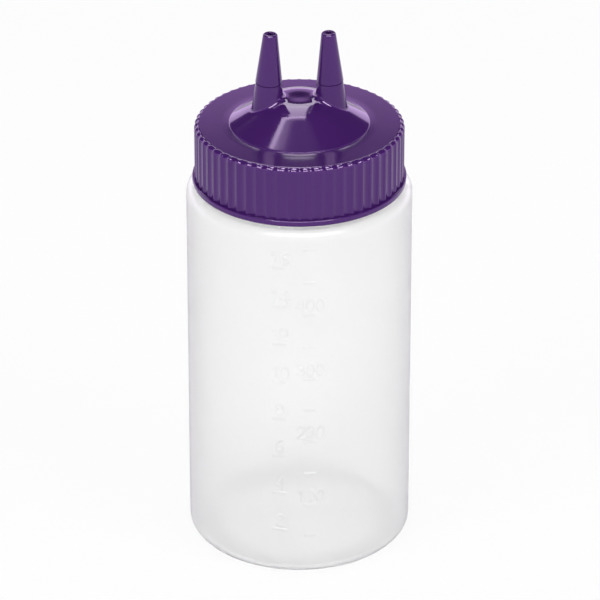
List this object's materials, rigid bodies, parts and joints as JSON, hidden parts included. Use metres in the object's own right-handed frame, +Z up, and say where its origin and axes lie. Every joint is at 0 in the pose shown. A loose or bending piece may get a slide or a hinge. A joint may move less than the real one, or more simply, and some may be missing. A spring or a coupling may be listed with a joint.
{
  "type": "squeeze bottle",
  "caption": "Translucent round squeeze bottle with moulded scale marks and a wide threaded neck, closed by a fluted screw cap with twin tapered spouts over a flat sealing ring.",
  "frame": {"origin": "middle of the base, on the surface that the bottle stands on", "axes": "+Z up along the bottle's axis, +X through the right-hand spout, -Y the front with the scale marks"},
  "size_m": [0.075, 0.0752, 0.184],
  "materials": {
    "bottle_plastic": "milky translucent, soft sheen",
    "seal_rubber": "matt",
    "cap_plastic": "glossy"
  },
  "bodies": {
    "bottle": {"bottle": "bottle_plastic"},
    "seal": {"sealing_ring": "seal_rubber"},
    "cap": {"cap": "cap_plastic"}
  },
  "joints": [
    {"name": "cap_rise", "type": "slide", "parent": "bottle", "child": "seal", "axis": [0, 0, 1], "range_m": [0, 0.0191]},
    {"name": "cap_turn", "type": "hinge", "parent": "seal", "child": "cap", "pos_m": [0, 0, 0.1515], "axis": [0, 0, 1], "range_deg": [0, 1080]}
  ],
  "couplings": [
    {"joint": "cap_rise", "follows": "cap_turn", "m_per_rad": 0.0010106}
  ]
}
